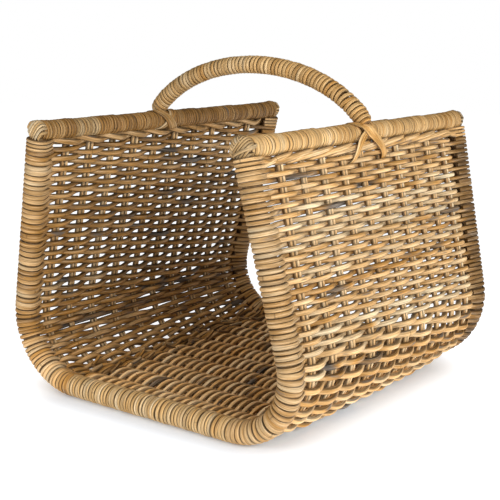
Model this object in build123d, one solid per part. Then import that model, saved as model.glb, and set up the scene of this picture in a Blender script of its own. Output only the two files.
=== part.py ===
from build123d import *
import os
from math import atan2, cos, hypot, pi, radians, sin, tan

# Open-ended log basket: a woven cane cradle on two bent end hoops, with two rails and an arched handle.
# Millimetres. X runs across between the rails, Y along them with the front at -Y, Z up from the floor.

# Rails and the caps on their ends
RAIL_LENGTH = 428.0
RAIL_SPREAD = 274.0
RAIL_HEIGHT = 295.0
RAIL_POLE_RADIUS = 7.4
RAIL_WRAP_RADIUS = 10.5
RAIL_WRAP_LOOPS = 15
CAP_RADIUS = 11.6
CAP_LENGTH = 22.0
CAP_WALL = 3.0
CAP_DOME = 6.0
CAP_TIP_RADIUS = 7.0

# End hoops: FOOT_SPREAD is where the lines of the legs would meet the line of the base
FOOT_SPREAD = 398.0
CORNER_RADIUS = 70.0
HOOP_INSET = 5.0
HOOP_LEAN = radians(3.5)
HOOP_POLE_RADIUS = 9.6
HOOP_WRAP_RADIUS = 14.0
LEG_WRAP_LOOPS = 11
BASE_WRAP_LOOPS = 11

# Handle: its axis crosses each rail HANDLE_SEAT from the rail axis, in the direction SEAT_ANGLE above level
HANDLE_TOP = 363.0
HANDLE_FORWARD = 12.0
HANDLE_SEAT = 14.0
SEAT_ANGLE = radians(46.0)
HANDLE_POLE_RADIUS = 6.8
HANDLE_WRAP_RADIUS = 10.0
HANDLE_WRAP_LOOPS = 16

# Lashings round the rails on both sides of the handle's feet
LASH_THICKNESS = 2.0
LASH_WIDTH = 4.2
LASH_LOOPS = 2

# Stakes in pairs, and the rows woven round them
STAKE_PAIRS = 10
STAKE_WIDTH = 4.1
STAKE_DEPTH = 4.4
PAIR_GAP = 0.4
END_MARGIN = 10.5
BEND_STEPS = 6
ROW_PITCH = 11.0
ROW_THICKNESS = 3.6
WALE_HEIGHT = 7.6
WALE_THICKNESS = 5.6
WALE_ROWS = 2

# Pins that hold the hoop tops to the rails
PIN_WIDTH = 2.2
PIN_IN_RAIL = 5.0
PIN_IN_HOOP = 18.0

# Fits: FIT between seated pieces, WEAVE_FIT between rows and stakes,
# ROW_GAP between rows, TURN_GAP between turns
FIT = 0.3
WEAVE_FIT = 0.7
ROW_GAP = 0.8
TURN_GAP = 0.7
PIN_FIT = 0.1

# Poles and strips are drawn with flat sides: HOOP_SIDES on the poles and on the strips round the hoops,
# RAIL_SIDES on the strips round the rails and the handle
HOOP_SIDES = 8
RAIL_SIDES = 6

# The cradle's middle line in the XZ plane: leg, corner arc, half of the floor
HOOP_WRAP_FLAT = HOOP_WRAP_RADIUS * cos(pi / HOOP_SIDES)
BASE = HOOP_WRAP_FLAT
LEG_RUN = (FOOT_SPREAD - RAIL_SPREAD) / 2
LEG_RISE = RAIL_HEIGHT - BASE
LEG_TILT = atan2(LEG_RUN, LEG_RISE)
CORNER_TURN = pi / 2 + LEG_TILT
CORNER_TANGENT = CORNER_RADIUS * tan(CORNER_TURN / 2)
LEG_END = hypot(LEG_RUN, LEG_RISE) - CORNER_TANGENT
CORNER_END = LEG_END + CORNER_RADIUS * CORNER_TURN
FLOOR_HALF = FOOT_SPREAD / 2 - CORNER_TANGENT

# Where the hoops stand along Y, and what the weave has between them
HOOP_TOP_Y = RAIL_LENGTH / 2 - HOOP_INSET
HOOP_BASE_Y = HOOP_TOP_Y - LEG_RISE * tan(HOOP_LEAN)
PAIR_WIDTH = 2 * STAKE_WIDTH + PAIR_GAP
STAKE_SPAN = 2 * (HOOP_BASE_Y - HOOP_WRAP_FLAT - END_MARGIN) - PAIR_WIDTH
STAKE_PITCH = STAKE_SPAN / (STAKE_PAIRS - 1)
STAKE_PLACES = [index * STAKE_PITCH - STAKE_SPAN / 2 for index in range(STAKE_PAIRS)]

# Lashings lie on the rail bindings, and the stakes end under them
LASH_INNER = (RAIL_WRAP_RADIUS + FIT) / cos(pi / RAIL_SIDES)
LASH_OUTER = LASH_INNER + LASH_THICKNESS
STAKE_TOP = LASH_OUTER + FIT
WEAVE_TOP = STAKE_TOP + WALE_ROWS * (WALE_HEIGHT + ROW_GAP)

FRONT, REAR = -1, 1
LEFT, RIGHT = -1, 1
ENDS = {"front": FRONT, "rear": REAR}
SIDES = {"left": LEFT, "right": RIGHT}
ALONG = Vector(0, 1, 0)
UP = Vector(0, 0, 1)


def cradle(run, side):
    """Point and outward direction of the cradle's middle line, run mm from a rail axis."""
    if run < LEG_END:
        turn = LEG_TILT
        x = RAIL_SPREAD / 2 + run * sin(LEG_TILT)
        z = RAIL_HEIGHT - run * cos(LEG_TILT)
    elif run < CORNER_END:
        turn = LEG_TILT - (run - LEG_END) / CORNER_RADIUS
        x = FLOOR_HALF + CORNER_RADIUS * cos(turn)
        z = BASE + CORNER_RADIUS * (1 + sin(turn))
    else:
        turn = -pi / 2
        x = FLOOR_HALF - (run - CORNER_END)
        z = BASE
    return Vector(side * x, 0, z), Vector(side * cos(turn), 0, sin(turn))


def hoop_y(z):
    """Distance of a hoop's axis from the middle of the basket at height z."""
    return HOOP_BASE_Y + (z - BASE) * tan(HOOP_LEAN)


def down_leg(side, end):
    """Direction of a hoop's leg, downwards from its rail."""
    return Vector(side * tan(LEG_TILT), -end * tan(HOOP_LEAN), -1).normalized()


# Frame


def hoop(end):
    """One pole bent to a U in a plane that leans outwards, with a pin hole in each top."""
    lean = Vector(0, end * sin(HOOP_LEAN), cos(HOOP_LEAN))
    plane = Plane(origin=(0, end * HOOP_BASE_Y, BASE), x_dir=(1, 0, 0), z_dir=Vector(1, 0, 0).cross(lean))
    top, _ = cradle(RAIL_POLE_RADIUS + FIT + HOOP_POLE_RADIUS * sin(HOOP_LEAN), RIGHT)
    rise = (top.Z - BASE) / cos(HOOP_LEAN)
    foot = FOOT_SPREAD / 2
    path = plane * FilletPolyline((-top.X, rise), (-foot, 0), (foot, 0), (top.X, rise), radius=CORNER_RADIUS)
    pole = sweep(Plane(path ^ 0) * RegularPolygon(HOOP_POLE_RADIUS, HOOP_SIDES), path=path)
    for side in SIDES.values():
        pole -= pin(side, end, PIN_FIT)
    return pole


def pin(side, end, room=0.0):
    """A headless square nail from inside the rail down into the top of a hoop's leg."""
    down = down_leg(side, end)
    top = Vector(side * RAIL_SPREAD / 2, end * HOOP_TOP_Y, RAIL_HEIGHT) - down * PIN_IN_RAIL
    length = PIN_IN_RAIL + RAIL_POLE_RADIUS + PIN_IN_HOOP
    start = Plane(origin=top - down * room, x_dir=down.cross(ALONG), z_dir=down)
    width = PIN_WIDTH + 2 * room
    return extrude(start * Rectangle(width, width), length + 2 * room)


def rail(side):
    """A straight pole that ends inside its caps, bored for the pins."""
    length = RAIL_LENGTH - 2 * (CAP_WALL + FIT)
    middle = Plane(origin=(side * RAIL_SPREAD / 2, 0, RAIL_HEIGHT), x_dir=(1, 0, 0), z_dir=ALONG)
    section = Rot(0, 0, 180 / HOOP_SIDES) * RegularPolygon(RAIL_POLE_RADIUS, HOOP_SIDES)
    pole = extrude(middle * section, length / 2, both=True)
    for end in ENDS.values():
        pole -= pin(side, end, PIN_FIT)
    return pole


def rail_cap(side, end):
    """A domed cap over a rail end, bored for the rail and open below for the hoop's leg."""
    tip = Vector(side * RAIL_SPREAD / 2, end * RAIL_LENGTH / 2, RAIL_HEIGHT)
    face = Plane(origin=tip, x_dir=(1, 0, 0), z_dir=(0, -end, 0))
    half_side = Rot(0, 0, 180 / HOOP_SIDES)
    rings = [(0, CAP_TIP_RADIUS), (CAP_DOME, CAP_RADIUS), (CAP_LENGTH, CAP_RADIUS)]
    sections = [face.offset(depth) * half_side * RegularPolygon(size, HOOP_SIDES) for depth, size in rings]
    cap = loft(sections, ruled=True)
    bore = RegularPolygon(RAIL_POLE_RADIUS + FIT, HOOP_SIDES, major_radius=False)
    cap -= extrude(face.offset(CAP_WALL) * half_side * bore, CAP_LENGTH)
    down = down_leg(side, end)
    seat = Vector(tip.X, end * HOOP_TOP_Y, tip.Z) + down * RAIL_POLE_RADIUS
    socket = RegularPolygon(HOOP_POLE_RADIUS + FIT, HOOP_SIDES, major_radius=False)
    return cap - extrude(Plane(origin=seat, z_dir=down) * socket, CAP_RADIUS)


def seat_point():
    """Where the handle's axis crosses the right rail, in the XZ plane."""
    x = RAIL_SPREAD / 2 + HANDLE_SEAT * cos(SEAT_ANGLE)
    return x, RAIL_HEIGHT + HANDLE_SEAT * sin(SEAT_ANGLE)


SEAT_X, SEAT_Z = seat_point()
HANDLE_RISE = HANDLE_TOP - SEAT_Z
HANDLE_ARC = (SEAT_X**2 + HANDLE_RISE**2) / (2 * HANDLE_RISE)
HANDLE_CENTRE = HANDLE_TOP - HANDLE_ARC
HANDLE_HALF = HANDLE_ARC * atan2(SEAT_X, SEAT_Z - HANDLE_CENTRE)


def handle():
    """An arched pole whose feet are hollowed to sit on the bound rails."""
    y = -HANDLE_FORWARD
    path = ThreePointArc((-SEAT_X, y, SEAT_Z), (0, y, HANDLE_TOP), (SEAT_X, y, SEAT_Z))
    pole = sweep(Plane(path ^ 0) * RegularPolygon(HANDLE_POLE_RADIUS, HOOP_SIDES), path=path)
    for side in SIDES.values():
        seat = Pos(side * RAIL_SPREAD / 2, y, RAIL_HEIGHT) * Rot(90, 0, 0)
        pole -= seat * Cylinder(RAIL_WRAP_RADIUS + FIT, 4 * HANDLE_POLE_RADIUS)
    return pole


# Bindings: each is one unbroken flat strip, wound round a route in straight facets


def panel(a, b, c, d):
    """A flat four-sided face, or two triangles where the corners are not in one plane."""
    normal = (b - a).cross(c - a).normalized()
    if abs((d - a).dot(normal)) < 1e-6:
        return [Face(Wire.make_polygon([a, b, c, d]))]
    return [Face(Wire.make_polygon([a, b, c])), Face(Wire.make_polygon([a, c, d]))]


def wind(name, route, stations, inner, outer, width):
    """Wind a strip round a route. A station is a distance along the route and an angle round it."""
    rings = []
    for run, angle in stations:
        ring = []
        for edge in (-width / 2, width / 2):
            point, out, across = route(run + edge)
            ray = out * cos(angle) + across * sin(angle)
            ring += [point + ray * inner, point + ray * outer]
        rings.append(ring)
    faces = []
    for near, far in zip(rings, rings[1:]):
        for i, j in ((0, 1), (1, 3), (3, 2), (2, 0)):
            faces += panel(near[i], near[j], far[j], far[i])
    for ring in (rings[0], rings[-1]):
        faces += panel(ring[0], ring[1], ring[3], ring[2])
    loop = round(2 * pi / abs(stations[1][1] - stations[0][1]))
    gaps = [(far[e] - near[e + 2]).length for near, far in zip(rings, rings[loop:]) for e in (0, 1)]
    print(f"{name}: least gap between turns {min(gaps):.2f} mm")
    return Solid(Shell(faces))


def even_turns(start, stop, loops, sides, width):
    """Stations of a steady winding whose strip fills the route from start to stop."""
    first = start + width / 2
    step = (stop - start - width) / (loops * sides)
    return [(first + step * i, (i + 0.5) * 2 * pi / sides) for i in range(loops * sides + 1)]


def strip_width(length, loops):
    """Width of a strip that covers a length in so many loops, with a gap between turns."""
    return (length - loops * TURN_GAP) / (loops + 1)


def steady_binding(name, route, start, stop, loops, sides, pole, outer, bend=None):
    """A steady winding that clears the pole inside it, also where a flat strip spans a bend."""
    width = strip_width(stop - start, loops)
    slack = 0 if bend is None else width**2 * (bend + outer) / (8 * bend**2)
    inner = (pole + FIT + slack) / cos(pi / sides)
    return wind(name, route, even_turns(start, stop, loops, sides, width), inner, outer, width)


def rail_binding(name, side):
    """Cane wound round a rail from cap to cap."""
    reach = RAIL_LENGTH / 2 - CAP_LENGTH - FIT

    def route(run):
        return Vector(side * RAIL_SPREAD / 2, run, RAIL_HEIGHT), Vector(side, 0, 0), UP

    return steady_binding(
        name, route, -reach, reach, RAIL_WRAP_LOOPS, RAIL_SIDES, RAIL_POLE_RADIUS, RAIL_WRAP_RADIUS
    )


def handle_binding(name):
    """Cane wound round the handle between its feet."""
    reach = HANDLE_HALF - RAIL_WRAP_RADIUS - FIT

    def route(run):
        turn = run / HANDLE_ARC
        out = Vector(sin(turn), 0, cos(turn))
        return Vector(0, -HANDLE_FORWARD, HANDLE_CENTRE) + out * HANDLE_ARC, out, ALONG

    return steady_binding(
        name,
        route,
        -reach,
        reach,
        HANDLE_WRAP_LOOPS,
        RAIL_SIDES,
        HANDLE_POLE_RADIUS,
        HANDLE_WRAP_RADIUS,
        HANDLE_ARC,
    )


def leg_binding(name, side, end):
    """Cane wound round a hoop's leg and corner, from under the cap to the start of the base."""

    def route(run):
        point, out = cradle(run, side)
        return point + ALONG * (end * hoop_y(point.Z)), out, ALONG * end

    start = CAP_RADIUS + FIT
    return steady_binding(
        name,
        route,
        start,
        CORNER_END,
        LEG_WRAP_LOOPS,
        HOOP_SIDES,
        HOOP_POLE_RADIUS,
        HOOP_WRAP_RADIUS,
        CORNER_RADIUS,
    )


def base_binding(name, end):
    """Cane wound round the straight base of a hoop; its lowest facets are the feet of the basket."""
    reach = FLOOR_HALF - TURN_GAP

    def route(run):
        return Vector(run, end * HOOP_BASE_Y, BASE), -UP, ALONG * end

    return steady_binding(
        name, route, -reach, reach, BASE_WRAP_LOOPS, HOOP_SIDES, HOOP_POLE_RADIUS, HOOP_WRAP_RADIUS
    )


def lashing(name, side):
    """Turns round the rail on both sides of the handle's foot, joined by a stretch that crosses inside."""

    def route(run):
        return Vector(side * RAIL_SPREAD / 2, run, RAIL_HEIGHT), Vector(side, 0, 0), UP

    step = 2 * pi / RAIL_SIDES
    pitch = LASH_WIDTH + TURN_GAP
    clear = HANDLE_WRAP_RADIUS + FIT + LASH_WIDTH / 2 + pitch / RAIL_SIDES
    turns = LASH_LOOPS * RAIL_SIDES
    crossing = RAIL_SIDES // 2
    stations = []
    for i in range(2 * turns + crossing + 1):
        if i <= turns:
            offset = -clear - (turns - i) * pitch / RAIL_SIDES
        elif i < turns + crossing:
            offset = -clear + 2 * clear * (i - turns) / crossing
        else:
            offset = clear + (i - turns - crossing) * pitch / RAIL_SIDES
        stations.append((offset - HANDLE_FORWARD, (i + 2) * step))
    return wind(name, route, stations, LASH_INNER, LASH_OUTER, LASH_WIDTH)


# Stakes and weave


def stake_pair(y):
    """Two stakes side by side, bent from rail to rail along the cradle's middle line."""
    bends = [LEG_END + (CORNER_END - LEG_END) * i / BEND_STEPS for i in range(1, BEND_STEPS)]
    swell = CORNER_RADIUS * (1 - cos(CORNER_TURN / BEND_STEPS / 2)) / 2
    spots = [(STAKE_TOP, 0), (LEG_END, 0)] + [(run, swell) for run in bends] + [(CORNER_END, 0)]
    outline = []
    for half_depth in (STAKE_DEPTH / 2, -STAKE_DEPTH / 2):
        edge = []
        for run, proud in spots:
            point, out = cradle(run, RIGHT)
            point += out * (proud + half_depth)
            edge.append((point.X, point.Z))
        whole = [(-x, z) for x, z in edge] + edge[::-1]
        outline += whole if half_depth > 0 else whole[::-1]
    stakes = []
    for hand in (-1, 1):
        middle = y + hand * (STAKE_WIDTH + PAIR_GAP) / 2
        plane = Plane(origin=(0, middle, 0), x_dir=(1, 0, 0), z_dir=(0, -1, 0))
        stakes.append(extrude(plane * make_face(Polyline(*outline, close=True)), STAKE_WIDTH / 2, both=True))
    return stakes


def row(run, side, phase, height, thickness):
    """One woven row: over a pair of stakes, under the next, from hoop to hoop."""
    point, out = cradle(run, side)
    swing = ((STAKE_DEPTH + thickness) / 2 + WEAVE_FIT) / (1 - PAIR_WIDTH / STAKE_PITCH)
    reach = hoop_y(point.Z - height / 2) - HOOP_WRAP_FLAT - FIT
    line = [(y, swing if (index + phase) % 2 else -swing) for index, y in enumerate(STAKE_PLACES)]
    tail = 1 - 2 * (reach - STAKE_SPAN / 2) / STAKE_PITCH
    line = [(-reach, line[0][1] * tail)] + line + [(reach, line[-1][1] * tail)]
    outline = [(y, n + thickness / 2) for y, n in line] + [(y, n - thickness / 2) for y, n in reversed(line)]
    plane = Plane(origin=point, x_dir=ALONG, z_dir=ALONG.cross(out))
    return extrude(plane * make_face(Polyline(*outline, close=True)), height / 2, both=True)


def rows_between(start, stop, side, phase):
    """Rows that fill a stretch of the cradle, each the other way round from the one before."""
    count = round((stop - start) / ROW_PITCH)
    pitch = (stop - start) / count
    height = pitch - ROW_GAP
    return [row(start + (i + 0.5) * pitch, side, phase + i, height, ROW_THICKNESS) for i in range(count)]


def wale(side):
    """The thick rows under a rail."""
    pitch = WALE_HEIGHT + ROW_GAP
    first = STAKE_TOP + pitch / 2
    return [row(first + i * pitch, side, i, WALE_HEIGHT, WALE_THICKNESS) for i in range(WALE_ROWS)]


parts = {"handle": handle(), "handle_binding": handle_binding("handle_binding")}
for side_name, side in SIDES.items():
    parts[f"{side_name}_rail"] = rail(side)
    parts[f"{side_name}_rail_binding"] = rail_binding(f"{side_name}_rail_binding", side)
    parts[f"{side_name}_lashing"] = lashing(f"{side_name}_lashing", side)
    parts[f"{side_name}_wale"] = wale(side)
    wall = rows_between(WEAVE_TOP, LEG_END, side, WALE_ROWS)
    parts[f"{side_name}_wall_weave"] = wall
    parts[f"{side_name}_corner_weave"] = rows_between(LEG_END, CORNER_END, side, WALE_ROWS + len(wall))
floor_phase = WALE_ROWS + len(parts["left_wall_weave"]) + len(parts["left_corner_weave"])
parts["floor_weave"] = rows_between(CORNER_END, CORNER_END + 2 * FLOOR_HALF, LEFT, floor_phase)
for end_name, end in ENDS.items():
    parts[f"{end_name}_hoop"] = hoop(end)
    parts[f"{end_name}_base_binding"] = base_binding(f"{end_name}_base_binding", end)
    for side_name, side in SIDES.items():
        parts[f"{end_name}_{side_name}_leg_binding"] = leg_binding(
            f"{end_name}_{side_name}_leg_binding", side, end
        )
for number, y in enumerate(STAKE_PLACES, start=1):
    parts[f"stake_pair_{number}"] = stake_pair(y)
corners = [(side, end) for side in SIDES.values() for end in ENDS.values()]
parts["rail_caps"] = [rail_cap(side, end) for side, end in corners]
parts["corner_pins"] = [pin(side, end) for side, end in corners]

os.makedirs("parts", exist_ok=True)
for name, shape in parts.items():
    solids = shape if isinstance(shape, list) else [shape]
    export_step(Compound([solid for item in solids for solid in item.solids()]), f"parts/{name}.step")
print(f"{len(parts)} nodes written")
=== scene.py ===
# %% [markdown]
# # A woven rattan log basket
# The basket is a cradle of woven cane. Pole hoops bound with cane stand at its open ends, wrapped rails run
# along its top edges, and an arched handle bridges the rails. The solids in the frame give every size and
# place. This lesson lays cane over them: a few hundred rods, each carried along its own route.

import math

import bmesh
import bpy
import numpy as np
from mathutils import Matrix, Vector


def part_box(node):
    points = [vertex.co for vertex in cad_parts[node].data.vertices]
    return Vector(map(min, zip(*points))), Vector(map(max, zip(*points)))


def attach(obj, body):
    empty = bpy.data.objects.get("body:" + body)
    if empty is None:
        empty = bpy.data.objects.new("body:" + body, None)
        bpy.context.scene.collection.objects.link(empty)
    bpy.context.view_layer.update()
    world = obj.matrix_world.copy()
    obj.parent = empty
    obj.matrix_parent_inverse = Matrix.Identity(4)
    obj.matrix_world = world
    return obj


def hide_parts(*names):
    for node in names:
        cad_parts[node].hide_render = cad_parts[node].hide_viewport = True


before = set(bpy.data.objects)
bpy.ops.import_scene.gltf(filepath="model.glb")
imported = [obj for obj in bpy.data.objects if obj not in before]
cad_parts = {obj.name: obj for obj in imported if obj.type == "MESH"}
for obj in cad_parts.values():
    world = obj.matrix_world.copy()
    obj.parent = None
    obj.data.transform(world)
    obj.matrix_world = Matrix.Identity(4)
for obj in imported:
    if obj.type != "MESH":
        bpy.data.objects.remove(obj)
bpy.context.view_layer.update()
MM = 0.001

# %% [markdown]
# ## Camera
# The photograph looks into the front end from the right, a little above the rails, through a long lens. The
# straight rails and the feet of the hoops fix the camera's place and lens better than the eye can, so the
# numbers of that fit are used.

# %% Camera
AZIMUTH = math.radians(37.02)
ELEVATION = math.radians(11.55)
ROLL = math.radians(0.28)
DISTANCE = 1243.4 * MM
AIM = Vector((-8.49, -6.66, 149.83)) * MM
FOCAL_PIXELS = 1068.1
FRAME_PIXELS = 500

lens = bpy.data.cameras.new("camera")
lens.sensor_width = 36.0
lens.lens = FOCAL_PIXELS / FRAME_PIXELS * lens.sensor_width
camera = bpy.data.objects.new("camera", lens)
turn = (
    Matrix.Rotation(AZIMUTH, 4, "Z")
    @ Matrix.Rotation(math.pi / 2 - ELEVATION, 4, "X")
    @ Matrix.Rotation(ROLL, 4, "Z")
)
camera.matrix_world = Matrix.Translation(AIM) @ turn @ Matrix.Translation((0, 0, DISTANCE))
bpy.context.scene.collection.objects.link(camera)
bpy.context.scene.camera = camera
print("lens in mm:", round(lens.lens, 1))

# %% [markdown]
# ## Colours and nodes
# Colours are picked as sRGB hex values and shaders work in linear light, so one function converts them. A
# second one adds a node with its settings and links, which keeps each material short.


# %% Colour and node helpers
def linear(hex_colour):
    """An sRGB hex colour as linear RGBA."""
    parts = [int(hex_colour[i : i + 2], 16) / 255 for i in (1, 3, 5)]
    return [p / 12.92 if p <= 0.04045 else ((p + 0.055) / 1.055) ** 2.4 for p in parts] + [1.0]


def fill(node, links):
    """Fill a node's inputs with values or other nodes' outputs, by name or in the order it shows them."""
    for name, value in links.items() if isinstance(links, dict) else enumerate(links):
        if isinstance(value, bpy.types.NodeSocket):
            node.id_data.links.new(value, node.inputs[name])
        else:
            node.inputs[name].default_value = value


def add_node(tree, kind, links=(), out=None, **settings):
    """Add a node with its settings and links, and return the output that is named, or else its first."""
    made = tree.nodes.new("ShaderNode" + kind)
    for name, value in settings.items():
        setattr(made, name, value)
    fill(made, links)
    return made.outputs[out] if out else next(socket for socket in made.outputs if socket.enabled)


def new_material(name):
    """An empty node material with its shader, and the tree to build in."""
    material = bpy.data.materials.new(name)
    material.use_nodes = True
    return material, material.node_tree, material.node_tree.nodes["Principled BSDF"]


print("straw in linear light:", [round(part, 3) for part in linear("#DCC49C")])

# %% [markdown]
# ## Studio
# The basket stands on white paper. Paper lit by lamps alone turns grey in places, so the floor glows a
# little by itself, except close to the basket, where the glow is turned down to paint a soft shadow.

# %% Floor
FLOOR_HALF_SIZE = 4.0
# Where the painted shadow round the basket lies, how soft its edge is, and the glow under it and away from it
SHADE_MIDDLE = (0.0025, -0.015, 0)
SHADE_HALF = (0.1075, 0.14, 1)
SHADE_NEAR, SHADE_FAR = 0.02, 0.115
GLOW_NEAR, GLOW_FAR = 0.06, 0.92
sweep = bmesh.new()
bmesh.ops.create_grid(sweep, x_segments=2, y_segments=2, size=FLOOR_HALF_SIZE)
floor_mesh = bpy.data.meshes.new("floor")
sweep.to_mesh(floor_mesh)
sweep.free()
floor = bpy.data.objects.new("floor", floor_mesh)
bpy.context.scene.collection.objects.link(floor)

# Matt white paper, a little cool, so that the basket's shadow looks grey and not brown
paper, paper_tree, paper_shader = new_material("white paper sweep")
# The glow drops close round the basket: this paints the soft shadow under and beside it
spot = add_node(paper_tree, "TexCoord", out="Object")
for operation, other in (
    ("SUBTRACT", SHADE_MIDDLE),
    ("ABSOLUTE", (0, 0, 0)),
    ("SUBTRACT", SHADE_HALF),
    ("MAXIMUM", (0, 0, 0)),
    ("LENGTH", (0, 0, 0)),
):
    spot = add_node(paper_tree, "VectorMath", (spot, other), operation=operation)
links = (spot, SHADE_NEAR, SHADE_FAR, GLOW_NEAR, GLOW_FAR)
glow = add_node(paper_tree, "MapRange", links, interpolation_type="SMOOTHSTEP")
fill(paper_shader, {"Base Color": linear("#E6EEF8"), "Roughness": 0.9, "Specular IOR Level": 0.1})
fill(paper_shader, {"Emission Color": linear("#FFFFFF"), "Emission Strength": glow})
floor_mesh.materials.append(paper)
print("floor is", 2 * FLOOR_HALF_SIZE, "m wide")

# %% [markdown]
# A large lamp at the upper right lights the outer right wall, a second one the front bindings, and a low
# card lifts the lower bands. The sky is white to the eye and dimmer as a lamp, so the hollows of the weave
# stay dark.

# %% Lights
LAMP_AIM = Vector((0, 0, 0.15))
SKY_AS_LAMP = 0.14


def softbox(name, place, size, watts):
    """A flat lamp, size wide and high, that faces the middle of the basket."""
    lamp = bpy.data.lights.new(name, "AREA")
    lamp.shape = "RECTANGLE"
    lamp.size, lamp.size_y = size
    lamp.energy = watts
    holder = bpy.data.objects.new(name, lamp)
    towards = LAMP_AIM - Vector(place)
    holder.matrix_world = Matrix.Translation(place) @ towards.to_track_quat("-Z", "Y").to_matrix().to_4x4()
    bpy.context.scene.collection.objects.link(holder)


softbox("side_light", (1.6, -0.6, 0.8), (1.4, 0.5), 24.0)
softbox("front_light", (-0.2, -2.2, 1.15), (1.1, 0.8), 17.0)
softbox("low_card", (1.3, -0.9, 0.08), (1.6, 0.3), 3.0)

sky = bpy.data.worlds.new("studio")
bpy.context.scene.world = sky
sky.use_nodes = True
to_eye = add_node(sky.node_tree, "LightPath", out="Is Camera Ray")
seen = add_node(sky.node_tree, "MapRange", (to_eye, 0.0, 1.0, SKY_AS_LAMP, 1.0))
fill(sky.node_tree.nodes["Background"], {"Color": linear("#FFFFFF"), "Strength": seen})
bpy.context.scene.view_settings.view_transform = "Standard"
print("lamps:", [lamp.name for lamp in bpy.data.lights])

# %% [markdown]
# ## Rattan
# Rattan is a climbing palm. Its peeled cane is straw to honey coloured, with long fibres, a dark ring at
# each joint, and grey or umber patches where it has weathered. The pattern has to follow every cane, so
# each rod carries two attributes: grain, the place on the cane in mm (across, across, along), and tone, the
# cane's own shade, its light and how near its edge is. Noise stretched along the grain gives the fibres,
# and slower noise the patches.

# %% Fibres and patches
FIBRE_WIDTH = 1.0  # real fibres are about 0.3 mm wide, drawn coarser so that they show
FIBRE_LENGTH = 26.0
PATCH_WIDTH = 7.0
PATCH_LENGTH = 38.0


def along_grain(tree, grain, width, length, detail, roughness):
    """Noise whose grains are width mm across the cane and length mm along it."""
    scales = (1 / width, 1 / width, 1 / length)
    stretch = add_node(tree, "VectorMath", (grain, scales), operation="MULTIPLY")
    links = {"Vector": stretch, "Scale": 1.0, "Detail": detail, "Roughness": roughness}
    return add_node(tree, "TexNoise", links)


print("fibres drawn", FIBRE_WIDTH, "mm wide and", FIBRE_LENGTH, "mm long")

# %% [markdown]
# A cane's colour comes from a ramp from straw to umber, read at the cane's own ripeness, which drifts from
# patch to patch. Its light comes from the streaks of the fibres and from its edges, which get a painted
# shade, as if shadow fell in the grooves between canes.

# %% Colour and light of a cane
RIPE_DRIFT = 0.2
STREAK_DARK, STREAK_LIGHT = 0.48, 1.38
# The light of a cane's face, and the light left by the painted shade in its grooves
FACE_LIGHT, PAINTED_GROOVE_LIGHT = 1.1, 0.28


def cane_colour(tree, stops, ripe, patch):
    """The colour at a cane's ripeness, from (place, hex) stops."""
    drift = add_node(tree, "MapRange", (patch, 0.25, 0.75, -RIPE_DRIFT, RIPE_DRIFT))
    ripeness = add_node(tree, "Math", (ripe, drift), operation="ADD", use_clamp=True)
    ramp = add_node(tree, "ValToRGB", (ripeness,))
    elements = ramp.node.color_ramp.elements
    while len(elements) < len(stops):
        elements.new(0.5)
    for element, (where, colour) in zip(elements, stops):
        element.position = where
        element.color = linear(colour)
    return ramp


def cane_light(tree, fibre, edge, light):
    """How light a place is: streaks of fibre, a painted shade in the grooves at the edges, and the cane's own
    light.
    """
    value = add_node(tree, "MapRange", (fibre, 0.3, 0.7, STREAK_DARK, STREAK_LIGHT))
    links = (edge, 0.35, 1.0, FACE_LIGHT, PAINTED_GROOVE_LIGHT)
    painted_groove_shade = add_node(tree, "MapRange", links, interpolation_type="SMOOTHSTEP")
    for factor in (painted_groove_shade, light):
        value = add_node(tree, "Math", (value, factor), operation="MULTIPLY")
    return value


print("grooves keep", PAINTED_GROOVE_LIGHT, "of the light")

# %% [markdown]
# Age comes on top: pale dust and a painted sheen on the raised fibres, grey where a patch has
# weathered, and a dark ring at each joint, where a leaf once grew.

# %% Age and joints
JOINT_SPACING = 260.0
JOINT_WIDTH = 1.3
MOST_GREY = 0.85


def joint_ring(tree, length, ringed):
    """How dark a joint's ring is at a length along the cane, mostly 0."""
    value = length
    for operation, other in (
        ("MULTIPLY", 1 / JOINT_SPACING),
        ("FRACT", 0.0),
        ("LESS_THAN", JOINT_WIDTH / JOINT_SPACING),
        ("MULTIPLY", ringed),
    ):
        value = add_node(tree, "Math", (value, other), operation=operation)
    return value


def aged(tree, colour, fibre, patch, ring, weathering, dust_and_sheen):
    """The colour with dust and a painted sheen on its fibres, grey on its weathered patches, and the joints'
    rings.
    """
    # Pale where the fibres are raised: dust, and a painted sheen as well
    dust_and_sheen_mask = add_node(tree, "MapRange", (fibre, 0.52, 0.72, 0.0, dust_and_sheen))
    grey = add_node(tree, "MapRange", (patch, 0.68 - weathering, 0.76 - weathering, 0.0, MOST_GREY))
    for share, tint in ((dust_and_sheen_mask, "#D8C9B0"), (grey, "#6E655B"), (ring, "#3A2614")):
        colour = add_node(tree, "Mix", {"Factor": share, "A": colour, "B": linear(tint)}, data_type="RGBA")
    return colour


print("a joint every", JOINT_SPACING, "mm")

# %% [markdown]
# The finish is those steps in a row, with a satin roughness and a fine relief along the fibres. It is made
# three times, since woven cane, stakes and binding cane differ in colour, age and shine.


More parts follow.
